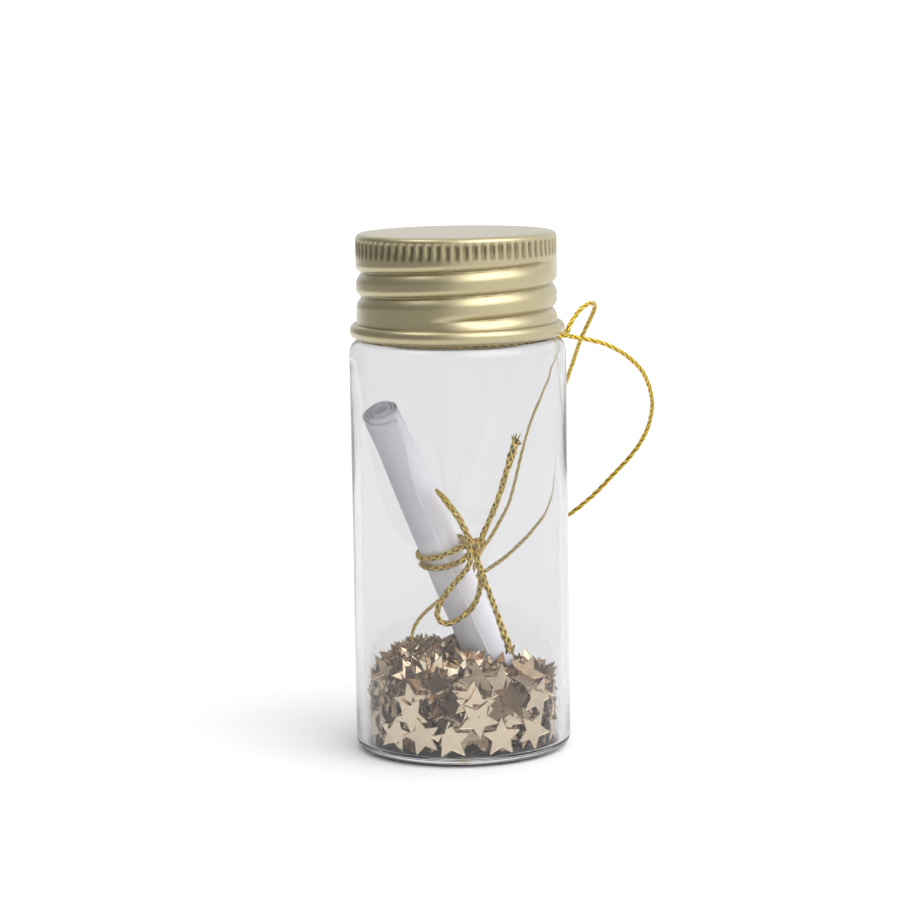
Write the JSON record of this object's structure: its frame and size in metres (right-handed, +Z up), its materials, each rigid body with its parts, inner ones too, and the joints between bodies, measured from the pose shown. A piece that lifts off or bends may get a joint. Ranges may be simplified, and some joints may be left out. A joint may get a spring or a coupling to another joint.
{
  "type": "bottle ornament",
  "caption": "Small screw-capped glass vial that holds a cord-tied paper scroll in loose star sequins, with a braided cord loop round its neck to hang it by.",
  "frame": {"origin": "centre of the vial's base, on the surface it stands on", "axes": "+Z up the vial's axis towards the cap, -Y to the front, +X to the right seen from the front, the side where the hanging cord leaves the neck"},
  "size_m": [0.043, 0.0578, 0.072],
  "materials": {
    "clear_glass": "clear polished glass",
    "gold_cap_lacquer": "rolled aluminium with a satin champagne-gold lacquer",
    "foam_liner": "soft foamed polyethylene sheet",
    "pale_paper": "plain pale lilac-grey paper",
    "gold_braid": "thin metallic gold braid",
    "tie_braid": "thicker metallic gold braid",
    "gold_sequin": "mirror-gold plastic sequin",
    "buried_sequin": "mirror-gold plastic sequins in the dark of the heap"
  },
  "bodies": {
    "vial": {"glass_vial": "clear_glass", "hanger_loop": "gold_braid", "hanger_neck_loop": "gold_braid", "paper_scroll": "pale_paper", "star_01": "gold_sequin", "star_02": "gold_sequin", "star_03": "gold_sequin", "star_04": "gold_sequin", "star_05": "gold_sequin", "star_06": "gold_sequin", "star_07": "gold_sequin", "star_08": "gold_sequin", "star_09": "gold_sequin", "star_10": "gold_sequin", "star_11": "gold_sequin", "star_12": "gold_sequin", "star_13": "gold_sequin", "star_14": "gold_sequin", "star_15": "gold_sequin", "star_16": "gold_sequin", "star_17": "gold_sequin", "star_18": "gold_sequin", "star_19": "gold_sequin", "star_20": "gold_sequin", "star_21": "gold_sequin", "star_22": "gold_sequin", "star_23": "gold_sequin", "star_24": "gold_sequin", "star_25": "gold_sequin", "star_26": "gold_sequin", "star_27": "gold_sequin", "star_28": "gold_sequin", "star_29": "gold_sequin", "star_30": "gold_sequin", "star_31": "gold_sequin", "star_32": "gold_sequin", "star_33": "gold_sequin", "star_34": "gold_sequin", "star_35": "gold_sequin", "star_36": "gold_sequin", "star_37": "gold_sequin", "star_38": "gold_sequin", "star_heap": "buried_sequin", "tie_bow_high_loop": "tie_braid", "tie_bow_low_loop": "tie_braid", "tie_knot": "tie_braid", "tie_tail_high": "tie_braid", "tie_tail_low": "tie_braid", "tie_winding": "tie_braid"},
    "liner": {"cap_liner": "foam_liner"},
    "cap": {"screw_cap": "gold_cap_lacquer"}
  },
  "joints": [
    {"name": "cap_rise", "type": "slide", "parent": "vial", "child": "liner", "axis": [0, 0, 1], "range_m": [0, 0.0141]},
    {"name": "cap_turn", "type": "hinge", "parent": "liner", "child": "cap", "pos_m": [0, 0, 0.065], "axis": [0, 0, 1], "range_deg": [0, 1530]}
  ],
  "couplings": [
    {"joint": "cap_rise", "follows": "cap_turn", "m_per_rad": 0.00052521}
  ]
}
